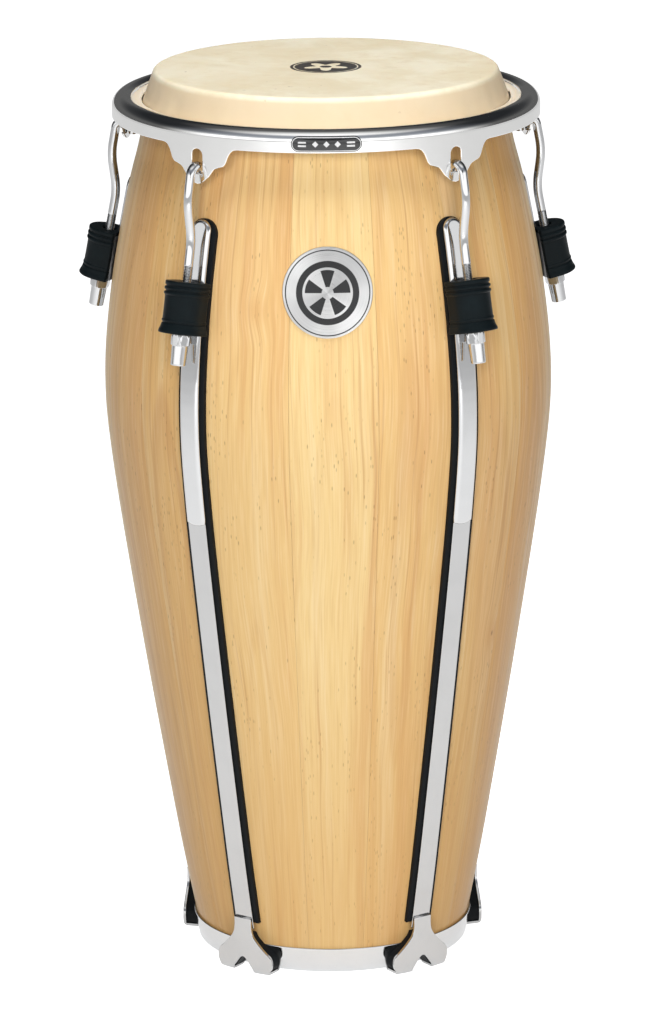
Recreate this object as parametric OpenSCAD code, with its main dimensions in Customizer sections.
// Conga drum with a stave shell, a tuned skin head and five tension lugs.
// Millimetres, +Z up, origin on the floor at the drum's axis, front of the drum towards -Y.

/* [Shell] */
// Height of the playing surface above the shell's lower edge
head_z = 762; // [740:1:780]
// Number of glued staves
stave_count = 16; // [12:1:20]
// Thickness of the stave wall
wall = 11; // [8:0.5:14]
// Glue line between neighbouring staves
glue_gap = 0.06; // [0.04:0.01:0.12]
// Turn of the first stave's edge from the front
stave_turn = -9.9; // [-22:0.1:22]

/* [Tension lugs] */
// Number of lugs around the drum
lug_count = 5; // [4:1:6]
// Angle from the front to the first lug
first_lug = 36; // [30:1:45]
// Diameter of the hook rod
rod_d = 8; // [6:0.5:9]
// Radial clearance of the nut's thread on the rod
thread_play = 0.05; // [0.02:0.01:0.1]
// Lean of the tension axis, outwards going down
lean = 11.5; // [8:0.5:14]
// Distance of the tension axis from the drum's axis at the lug's middle
lug_r = 199.9; // [198:0.1:202]
// Height of the lug's middle above the shell's lower edge
lug_z = 592; // [580:1:600]

/* [Lug cover] */
// Width of the rubber cover
cover_w = 34.5; // [32:0.5:38]
// Height of the rubber cover
cover_h = 43; // [40:1:46]
// Thickness of the cover's wall around the receiver
cover_wall = 4; // [3:0.5:5]

/* [Tuning nut] */
// Width of the nut's hexagon across the flats
hex_af = 15; // [13:0.5:16]
// Height of the hexagon
hex_h = 9; // [7:0.5:10]
// Diameter of the nut's round barrel
barrel_d = 13.4; // [12.6:0.1:14]
// Height of the round barrel
barrel_h = 16.5; // [14:0.5:18]

/* [Rim] */
// Outer radius of the rim
rim_r = 180; // [179:0.1:181]
// Thickness of the rim's sheet
rim_t = 2.6; // [2.2:0.1:2.6]
// Height of the rim's top
rim_top = 741.8; // [741.5:0.1:743]
// Height of the rim's lower edge between the ears
rim_low = 722.8; // [721:0.1:724]
// Width of the hook slot in an ear
slot_w = 10.5; // [9:0.5:12]

/* [Head] */
// Thickness of the skin
skin_t = 1.8; // [1.2:0.1:2]
// Radius of the flesh hoop's steel rod
hoop_rod_r = 4.2; // [3.5:0.1:4.2]

/* [Straps and feet] */
// Thickness of the rubber strip under a strap
pad_t = 3.7; // [3:0.1:4]
// Width of the rubber strip
pad_w = 26; // [24:1:28]
// Thickness of the strap
strap_t = 1.8; // [1.5:0.1:2]
// Width of the strap
strap_w = 17.7; // [16:0.1:20]
// Thickness of the side plate's sheet
plate_t = 2.2; // [1.8:0.1:2.5]
// Width of the side plate
plate_w = 18.5; // [17:0.5:21]
// Outer radius of the foot plates
foot_r = 131.4; // [130:0.2:133]
// Thickness of the foot plates
foot_t = 2.5; // [2:0.1:2.5]

/* [Badges] */
// Diameter of the round shell badge
badge_d = 74; // [60:1:80]
// Height of the round badge's centre
badge_z = 607.3; // [590:0.1:615]
// Width of the long rim badge
rim_badge_w = 58; // [40:1:64]
// Height of the long rim badge
rim_badge_h = 12.5; // [10:0.5:14]

/* [Hidden] */
lug_parts = [
    "hook", "tuning_nut", "lug_cover", "lug_receiver", "side_plate",
    "strap", "strap_pad", "foot_plate", "foot_pad"
];
lug_turn = 360 / lug_count;
foot_fold = 2.5;
eps = 0.5;

// Shell outline: height and outer radius at its stations, joined by a smooth curve
shell_stations = [
    [0, 114.2], [60, 126], [120, 136.8], [270, 161.5], [420, 183.6], [500, 189.7],
    [580, 182.8], [660, 167.8], [700, 157.8], [740, 149.2], [754, 144.7]
];
skirt_low = rim_low - 33;
rim_bend_r = 10;
rim_bend_at = [rim_r - rim_bend_r, rim_top - rim_bend_r];
rim_curl = 125;
slot_floor = 700.6;
slot_side = 15.25;
rim_badge_z = 730.6;
badge_t = 1.6;
rim_badge_t = 1.2;
edge_round = 6;
edge_crest = head_z - skin_t - 0.2;
edge_crest_r = 138.7;
edge_inner_r = 136;
wall_top = 750;
band_h = 22;
band_t = 2;

// Rod and hook
rod_r = rod_d / 2;
arch_r = 7.9;
arch_at = [rim_r + 0.9, 698.8];
upper_lean = 8;
neck_lean = 11;
neck_run = 22.7;
low_bend_r = 60;
high_bend_r = 60;
hook_tip = 3;
low_run = 25;
arch_steps = 14;
rod_foot = -cover_h / 2 - 14;
thread_high = cover_h / 2 + 14;
nut_top = -cover_h / 2 - 0.7;
washer_low = -cover_h / 2 - 0.4;
washer_t = 1.4;
washer_r = 9;

// Bolts that hold each side plate to the shell
bolt_r = 3;
bolt_head_r = 6.5;
bolt_heights = [450, 640];
inner_washer_t = 1.6;
inner_nut_t = 5;
inner_play = 0.4;
bolt_tip = 3;

// Side plate and straps, by height
plate_top = 660;
plate_low = 405;
plate_end = 4;
plate_end_r = 18;
strap_top = 424;
strap_low = 37;
pad_top = 661.1;
pad_low = 42;
plate_out = pad_t + strap_t + plate_t;

// Flesh hoop in its wrap of skin
collar_lean = 19.8;
crease_r = 141.6;
crease_round = 4;
hoop_z = 732.5;
collar_out = [cos(collar_lean), sin(collar_lean)];
collar_down = [sin(collar_lean), -cos(collar_lean)];
collar_top = [crease_r, head_z - crease_round] + crease_round * collar_out;
wrap_in = hoop_rod_r + 0.1;
wrap_out = wrap_in + skin_t;
wrap_end = 500;
collar_run = (collar_top.y + wrap_in * collar_out.y - hoop_z) / cos(collar_lean);
hoop_at = collar_top + collar_run * collar_down + wrap_in * collar_out;

function cubic(a, b, c, d, t) =
    b + t / 2 * (c - a + t * (2 * a - 5 * b + 4 * c - d + t * (3 * (b - c) + d - a)));

// A smooth curve through a list of points, with a number of steps to each span
function smooth(p, steps) = concat(
    [for (i = [0 : len(p) - 2], k = [0 : steps - 1])
        cubic(
            p[max(i - 1, 0)], p[i], p[i + 1], p[min(i + 2, len(p) - 1)], k / steps)],
    [p[len(p) - 1]]
);

// Points of an arc round a centre, from one angle to another
function arc(centre, r, from, to, steps = 8) =
    [for (k = [0 : steps])
        let (a = from + (to - from) * k / steps)
        centre + r * [cos(a), sin(a)]];

function reversed(p) = [for (i = [len(p) - 1 : -1 : 0]) p[i]];

function mirrored(p) = concat(p, [for (i = [len(p) - 1 : -1 : 0]) [-p[i].x, p[i].y]]);

shell_curve = smooth(shell_stations, 4);
shell_side = [for (p = shell_curve) [p[1], p[0]]];

// Outer radius of the shell at a height
function shell_r(z) = lookup(z, shell_curve);

// Angle by which the shell's surface faces up at a height
function shell_face(z) = atan((shell_r(z - 4) - shell_r(z + 4)) / 8);

// A point [radius, height] at a distance outside the shell
function outside(z, d) = [shell_r(z) + d * cos(shell_face(z)), z + d * sin(shell_face(z))];

// The shell curve's own heights between two others
function heights(low, high) =
    concat([low], [for (p = shell_curve) if (p[0] > low && p[0] < high) p[0]], [high]);

module at_angle(a) rotate([0, 0, a - 90]) children();

module at_lug(i) at_angle(first_lug + (i - 1) * lug_turn) children();

module at_every_lug() for (i = [1 : lug_count]) at_lug(i) children();

// Stands a [radius, height] outline across the lug's plane, with a width
module across(width)
    translate([0, width / 2, 0])
        rotate([90, 0, 0])
            linear_extrude(width)
                children();

// Puts a [sideways, height] outline in front of the shell and cuts outwards with it
module facing(from_r, to_r)
    translate([to_r, 0, 0])
        rotate([90, 0, -90])
            linear_extrude(to_r - from_r)
                children();

// The frame of a tension rod: its origin at the lug's middle and +Z along the rod
module on_rod()
    translate([lug_r, 0, lug_z])
        rotate([0, -lean, 0])
            children();

module outline_strip(low, high, inner, outer)
    polygon(concat(
        [for (z = heights(low, high)) outside(z, inner)],
        [for (z = reversed(heights(low, high))) outside(z, outer)]
    ));

module stave_section() {
    inner = [for (p = shell_side) p - [wall, 0]];
    crest = arc([edge_crest_r, edge_crest - edge_round], edge_round, 0, 90, 6);
    polygon(concat(
        [for (p = shell_side) if (p.y > band_t) p],
        crest,
        [[edge_inner_r, edge_crest]],
        reversed([for (p = inner) if (p.y > band_t && p.y < wall_top) p]),
        [[shell_r(band_t) - wall, band_t]],
        [[shell_r(band_t), band_t]]
    ));
}

module shell_staves()
    color("burlywood")
        difference() {
            for (k = [0 : stave_count - 1])
                at_angle(stave_turn + k * 360 / stave_count)
                    rotate_extrude(angle = 360 / stave_count - glue_gap)
                        stave_section();
            at_every_lug()
                for (z = bolt_heights)
                    bolt_line(z)
                        translate([0, 0, -wall - 4])
                            cylinder(h = wall + 8, r = bolt_r + 0.25);
        }

module bottom_band()
    color("silver")
        rotate_extrude()
            polygon([
                [shell_r(0) - wall + 1, 0],
                [shell_r(0) + band_t - 1, 0],
                [shell_r(0) + band_t, 1],
                [shell_r(band_h) + band_t, band_h - 0.6],
                [shell_r(band_h) + band_t - 0.6, band_h],
                [shell_r(band_h), band_h],
                [shell_r(band_t), band_t],
                [shell_r(0) - wall + 1, band_t]
            ]);

// The frame of a mounting bolt: +Z outwards, at right angles to the shell
module bolt_line(z)
    translate([shell_r(z), 0, z])
        rotate([0, 90 - shell_face(z), 0])
            children();

module mounting_bolts()
    color("silver")
        at_every_lug()
            for (z = bolt_heights)
                bolt_line(z) {
                    translate([0, 0, pad_t])
                        cylinder(h = strap_t - 0.2, r = bolt_head_r);
                    translate([0, 0, -wall - inner_washer_t - inner_nut_t - bolt_tip])
                        cylinder(
                            h = wall + inner_washer_t + inner_nut_t + bolt_tip + pad_t,
                            r = bolt_r);
                }

module mounting_washers()
    color("silver")
        at_every_lug()
            for (z = bolt_heights)
                bolt_line(z)
                    translate([0, 0, -wall - inner_washer_t - inner_play])
                        difference() {
                            cylinder(h = inner_washer_t, r = washer_r);
                            translate([0, 0, -eps])
                                cylinder(h = inner_washer_t + 2 * eps, r = bolt_r + 0.2);
                        }

module mounting_nuts()
    color("silver")
        at_every_lug()
            for (z = bolt_heights)
                bolt_line(z)
                    translate([0, 0, -wall - inner_washer_t - inner_nut_t - inner_play])
                        difference() {
                            cylinder(h = inner_nut_t, r = 5.8, $fn = 6);
                            translate([0, 0, -eps])
                                cylinder(h = inner_nut_t + 2 * eps, r = bolt_r + 0.05);
                        }

// The skin runs over the edge, down the collar, under the flesh hoop and back over it
module skin_section() {
    centre = [crease_r, head_z - crease_round];
    polygon(concat(
        [[0, head_z]],
        reversed(arc(centre, crease_round, collar_lean, 90)),
        arc(hoop_at, wrap_in, 180 + collar_lean, wrap_end, 20),
        reversed(arc(hoop_at, wrap_out, 180 + collar_lean, wrap_end, 20)),
        arc(centre, crease_round - skin_t, collar_lean, 90, 4),
        [[0, head_z - skin_t]]
    ));
}

module drumhead()
    color("cornsilk")
        rotate_extrude()
            skin_section();

module flesh_hoop()
    color("dimgray")
        rotate_extrude()
            translate(hoop_at)
                circle(hoop_rod_r);

// The rim's sheet before its skirt is cut to the ears
module rim_section() {
    middle_r = rim_bend_r - rim_t / 2;
    edge_at = rim_bend_at + middle_r * [cos(rim_curl), sin(rim_curl)];
    polygon(concat(
        [[rim_r - rim_t, skirt_low], [rim_r, skirt_low]],
        arc(rim_bend_at, rim_bend_r, 0, rim_curl),
        arc(edge_at, rim_t / 2, rim_curl + 30, rim_curl + 150, 4),
        reversed(arc(rim_bend_at, rim_bend_r - rim_t, 0, rim_curl))
    ));
}

// Half of a stepped ear, from the rim's lower edge to the ear's tip
ear_points = [
    [39, rim_low + 4], [37.5, rim_low + 0.6], [33.5, rim_low - 1], [30.8, rim_low - 4.1],
    [28.8, rim_low - 8.1], [27.3, rim_low - 11.8], [24.8, rim_low - 14.6], [20.5, rim_low - 16],
    [16.3, rim_low - 18], [13.4, rim_low - 21.6], [11.2, rim_low - 24.4], [8.8, rim_low - 26.4],
    [4.5, rim_low - 29.7], [0, rim_low - 31]
];

// A slot with a flat floor and a round top
module slot() {
    translate([-slot_w / 2, slot_floor])
        square([slot_w, slot_side]);
    translate([0, slot_floor + slot_side])
        circle(d = slot_w);
}

// What the rim's sheet is trimmed to: all of it above the low edge, and the ears below
module rim_bounds() {
    translate([0, 0, rim_low])
        cylinder(h = rim_top - rim_low + 5, r = rim_r + 5);
    at_every_lug()
        facing(rim_r - 20, rim_r + 4)
            polygon(mirrored(smooth(ear_points, 3)));
}

module rim()
    color("silver")
        difference() {
            intersection() {
                rotate_extrude()
                    rim_section();
                rim_bounds();
            }
            at_every_lug()
                facing(rim_r - 12, rim_r + 5)
                    slot();
        }

module pill(w, h) {
    for (side = [-1, 1])
        translate([side * (w - h) / 2, 0])
            circle(d = h);
    square([w - h, h], center = true);
}

module rim_badge()
    color("black")
        at_angle(0)
            intersection() {
                rotate_extrude()
                    polygon(concat(
                        [[rim_r, skirt_low], [rim_r + rim_badge_t, skirt_low]],
                        arc(rim_bend_at, rim_bend_r + rim_badge_t, 0, 60),
                        reversed(arc(rim_bend_at, rim_bend_r, 0, 60))
                    ));
                facing(rim_r - rim_bend_r, rim_r + 5)
                    translate([0, rim_badge_z])
                        pill(rim_badge_w, rim_badge_h);
            }

module shell_badge()
    color("gainsboro")
        at_angle(0)
            intersection() {
                rotate_extrude()
                    outline_strip(badge_z - badge_d / 2 - 4, badge_z + badge_d / 2 + 4, 0, badge_t);
                translate([120, 0, badge_z])
                    rotate([0, 90, 0])
                        cylinder(h = 100, d = badge_d);
            }

// Corners of the hook's centreline above the lug, as [radius, height]
neck_top = arch_at + arch_r * [cos(neck_lean), sin(neck_lean)];
high_corner = neck_top + neck_run * [sin(neck_lean), -cos(neck_lean)];
low_corner_z =
    (lug_r + lug_z * tan(lean) - high_corner.x + high_corner.y * tan(upper_lean))
    / (tan(lean) + tan(upper_lean));
low_corner = [lug_r - (low_corner_z - lug_z) * tan(lean), low_corner_z];
low_tangent = low_bend_r * tan((lean + upper_lean) / 2);
high_tangent = high_bend_r * tan((upper_lean + neck_lean) / 2);

// The direction of a heading, which leans from upwards towards outwards, and the one to its right
function ahead(heading) = [sin(heading), cos(heading)];
function right_of(heading) = [cos(heading), -sin(heading)];

// Points of a bend that starts at p and turns from one heading to another
function bend(p, from, to, radius, steps) =
    let (side = to > from ? 1 : -1, centre = p + side * radius * right_of(from))
    [for (k = [0 : steps]) centre - side * radius * right_of(from + (to - from) * k / steps)];

arch = bend(neck_top, -neck_lean, -180, arch_r, arch_steps);
hook_path = concat(
    [low_corner - low_run * ahead(-lean)],
    bend(low_corner - low_tangent * ahead(-lean), -lean, upper_lean, low_bend_r, 5),
    bend(high_corner - high_tangent * ahead(upper_lean), upper_lean, -neck_lean, high_bend_r, 5),
    arch,
    [arch[arch_steps] - [0, hook_tip - 1], arch[arch_steps] - [0, hook_tip]]
);

// A round rod along [radius, height] points in the lug's plane, with its last end rounded
module swept_rod(path, r) {
    sides = 16;
    last = len(path) - 1;
    rings = [for (i = [0 : last])
        let (
            step = path[min(i + 1, last)] - path[max(i - 1, 0)],
            side = [step.y, -step.x] / norm(step),
            size = i == last ? r - 1 : r
        )
        [for (k = [0 : sides - 1])
            let (a = 360 * k / sides, across = size * cos(a) * side)
            [path[i].x + across.x, size * sin(a), path[i].y + across.y]]];
    polyhedron(
        [for (ring = rings, p = ring) p],
        concat(
            [for (i = [0 : last - 1], k = [0 : sides - 1])
                let (a = i * sides + k, b = i * sides + (k + 1) % sides)
                [b + sides, b, a]],
            [for (i = [0 : last - 1], k = [0 : sides - 1])
                let (a = i * sides + k, b = i * sides + (k + 1) % sides)
                [a + sides, b + sides, a]],
            [[for (k = [0 : sides - 1]) k]],
            [[for (k = [sides - 1 : -1 : 0]) last * sides + k]]
        )
    );
}

module hook()
    color("silver") {
        on_rod()
            translate([0, 0, rod_foot])
                cylinder(h = thread_high - rod_foot, r = rod_r);
        swept_rod(hook_path, rod_r - 0.1);
    }

module tuning_nut()
    color("silver")
        on_rod()
            translate([0, 0, nut_top])
                difference() {
                    union() {
                        translate([0, 0, -hex_h])
                            cylinder(h = hex_h, r = hex_af / 2 / cos(30), $fn = 6);
                        translate([0, 0, -hex_h - barrel_h])
                            cylinder(h = barrel_h, d = barrel_d);
                    }
                    translate([0, 0, -hex_h - barrel_h - eps])
                        cylinder(h = hex_h + barrel_h + 2 * eps, r = rod_r + thread_play);
                }

module tuning_washers()
    color("silver")
        at_every_lug()
            on_rod()
                translate([0, 0, washer_low])
                    difference() {
                        cylinder(h = washer_t, r = washer_r);
                        translate([0, 0, -eps])
                            cylinder(h = washer_t + 2 * eps, r = rod_r + 0.5);
                    }

// Plan of the lug: round outside, straight sides back to the side plate
module lug_plan(width, back)
    intersection() {
        union() {
            circle(d = width);
            translate([-back, -width / 2])
                square([back, width]);
        }
        translate([-back, -width])
            square([back + width, 2 * width]);
    }

cover_back = 10.4;
cover_low = -cover_h / 2;
receiver_low = cover_low + 1;
receiver_high = cover_h / 2 - 3;
receiver_back = 18;
receiver_play = 0.3;

// Each step of the cover: its foot, its height and how much wider it is than the grooves
cover_steps = [
    [cover_low, cover_h, 0], [cover_low, 3.2, 5.6], [cover_low + 3, 3, 3.6],
    [cover_low + 9, 23.5, 1.6], [cover_low + 35, 3, 1.6], [cover_low + 40, 3, 1.6]
];

module lug_cover()
    color("#1b1b1d")
        on_rod()
            difference() {
                for (level = cover_steps)
                    translate([0, 0, level[0]])
                        linear_extrude(level[1])
                            lug_plan(cover_w - 1.6 + level[2], cover_back);
                translate([0, 0, cover_low - eps])
                    linear_extrude(receiver_high - cover_low + eps)
                        lug_plan(cover_w - 2 * cover_wall, cover_back + eps);
                cylinder(h = cover_h, r = rod_r + 2.2);
            }

module lug_receiver()
    color("dimgray")
        difference() {
            on_rod()
                difference() {
                    translate([0, 0, receiver_low])
                        linear_extrude(receiver_high - receiver_low)
                            lug_plan(cover_w - 2 * (cover_wall + receiver_play), receiver_back);
                    cylinder(h = 2 * cover_h, r = rod_r + 0.5, center = true);
                }
            across(60)
                outline_strip(lug_z - 60, lug_z + 60, -30, plate_out);
        }

module side_plate()
    color("silver")
        intersection() {
            union() {
                across(plate_w)
                    outline_strip(plate_low - 5, plate_top + 5, plate_out - plate_t, plate_out);
                for (side = [-1, 1])
                    translate([0, side * (plate_w - plate_t) / 2, 0])
                        across(plate_t)
                            outline_strip(strap_top + 2, plate_top + 5, pad_t, plate_out - plate_t);
            }
            facing(140, 220) {
                translate([0, plate_top - plate_w / 2])
                    circle(d = plate_w);
                translate([-plate_w / 2, plate_low + plate_end])
                    square([plate_w, plate_top - plate_low - plate_end - plate_w / 2]);
                translate([0, plate_low + plate_end_r])
                    circle(r = plate_end_r);
            }
        }

module strap()
    color("silver")
        across(strap_w)
            outline_strip(strap_low, strap_top, pad_t, pad_t + strap_t);

module strap_pad()
    color("#141414")
        difference() {
            intersection() {
                rotate_extrude()
                    outline_strip(pad_low, pad_top + 5, 0, pad_t);
                facing(100, 220) {
                    translate([0, pad_top - pad_w / 2])
                        circle(d = pad_w);
                    translate([-pad_w / 2, 0])
                        square([pad_w, pad_top - pad_w / 2]);
                }
            }
            for (z = bolt_heights)
                bolt_line(z)
                    cylinder(h = 10, r = bolt_r + 0.2);
        }

// Half of the foot's fishtail, from the neck down to the notch between its two prongs
foot_points = [
    [8.8, 46], [8.8, 37], [10.4, 31], [15, 25], [22, 18], [27, 13.5], [28.4, 9], [28, 4], [25.5, 0]
];
notch_points = [[10.5, 0], [5.5, 7], [2, 10.5], [0, 11.2]];
foot_h = 46;
foot_pad_h = 33;
foot_pad_scale = 0.94;
foot_inner_r = 112;
foot_pad_play = 0.2;
prong_at = 18;
prong_w = 15;

module foot_outline()
    polygon(mirrored(concat([[0, foot_h]], smooth(foot_points, 3), smooth(notch_points, 2))));

module ring_sector(inner, outer, low, high)
    rotate_extrude()
        translate([inner, low])
            square([outer - inner, high - low]);

module foot_plate()
    color("silver") {
        intersection() {
            ring_sector(foot_r - foot_t, foot_r, 0, foot_h);
            facing(foot_r - 30, foot_r + 5)
                foot_outline();
        }
        intersection() {
            ring_sector(foot_inner_r, foot_r, -foot_fold, 0);
            for (side = [-1, 1])
                translate([foot_inner_r - 10, side * prong_at - prong_w / 2, -foot_fold])
                    cube([foot_r - foot_inner_r + 20, prong_w, foot_fold]);
        }
    }

module foot_pad()
    color("#141414")
        difference() {
            intersection() {
                ring_sector(foot_inner_r, foot_r - foot_t, 0, foot_pad_h);
                facing(foot_inner_r - 10, foot_r + 5)
                    scale([foot_pad_scale, foot_pad_scale, 1])
                        foot_outline();
            }
            rotate_extrude()
                polygon([
                    [0, -5],
                    [shell_r(0) + band_t + foot_pad_play, -5],
                    [shell_r(0) + band_t + foot_pad_play, 1],
                    [shell_r(band_h) + band_t + foot_pad_play, band_h],
                    [shell_r(60) + band_t + foot_pad_play, 60],
                    [0, 60]
                ]);
        }

module lug_part(part) {
    if (part == "hook") hook();
    if (part == "tuning_nut") tuning_nut();
    if (part == "lug_cover") lug_cover();
    if (part == "lug_receiver") lug_receiver();
    if (part == "side_plate") side_plate();
    if (part == "strap") strap();
    if (part == "strap_pad") strap_pad();
    if (part == "foot_plate") foot_plate();
    if (part == "foot_pad") foot_pad();
}

// Lifts the drum so that its feet stand on the floor
module on_feet() translate([0, 0, foot_fold]) children();

on_feet() shell_staves();
on_feet() bottom_band();
on_feet() drumhead();
on_feet() flesh_hoop();
on_feet() rim();
on_feet() rim_badge();
on_feet() shell_badge();
on_feet() mounting_bolts();
on_feet() mounting_washers();
on_feet() mounting_nuts();
on_feet() tuning_washers();
for (part = lug_parts, i = [1 : lug_count])
    on_feet() at_lug(i) lug_part(part);
